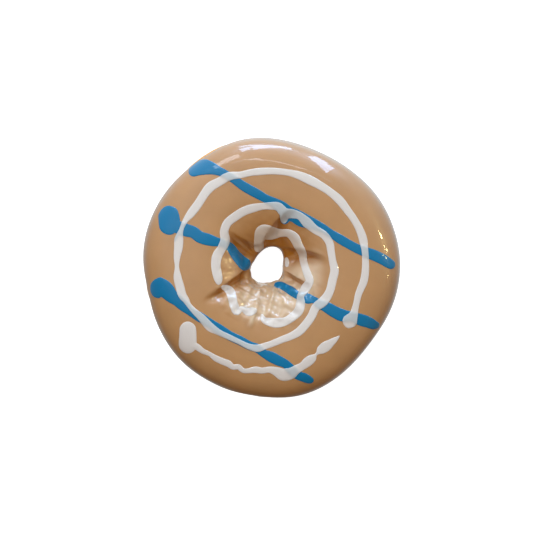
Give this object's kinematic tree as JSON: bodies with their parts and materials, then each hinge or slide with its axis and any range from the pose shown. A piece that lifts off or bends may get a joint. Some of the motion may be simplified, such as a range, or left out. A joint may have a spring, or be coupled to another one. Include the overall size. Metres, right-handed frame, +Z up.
{
  "type": "maple iced ring doughnut",
  "caption": "Yeast-raised ring doughnut lying flat, its top and sides coated in glossy maple icing, with a white spiral drizzle and blue cross stripes.",
  "frame": {"origin": "on the flat underside, in the middle of the ring's outer box", "axes": "+Z up, out of the iced top; +Y towards the ring's slightly longer side; +X across it"},
  "size_m": [0.0945, 0.0956, 0.0329],
  "materials": {
    "dough": "fried golden brown crust, satin, with a paler band round the widest line",
    "maple_icing": "set maple fondant icing, opaque tan, wet-looking gloss",
    "white_drizzle": "set white fondant icing, glossy, a little translucent where thin",
    "blue_drizzle": "set blue fondant icing, glossy"
  },
  "bodies": {
    "root": {"dough_ring": "dough", "maple_icing": "maple_icing"}
  },
  "joints": []
}
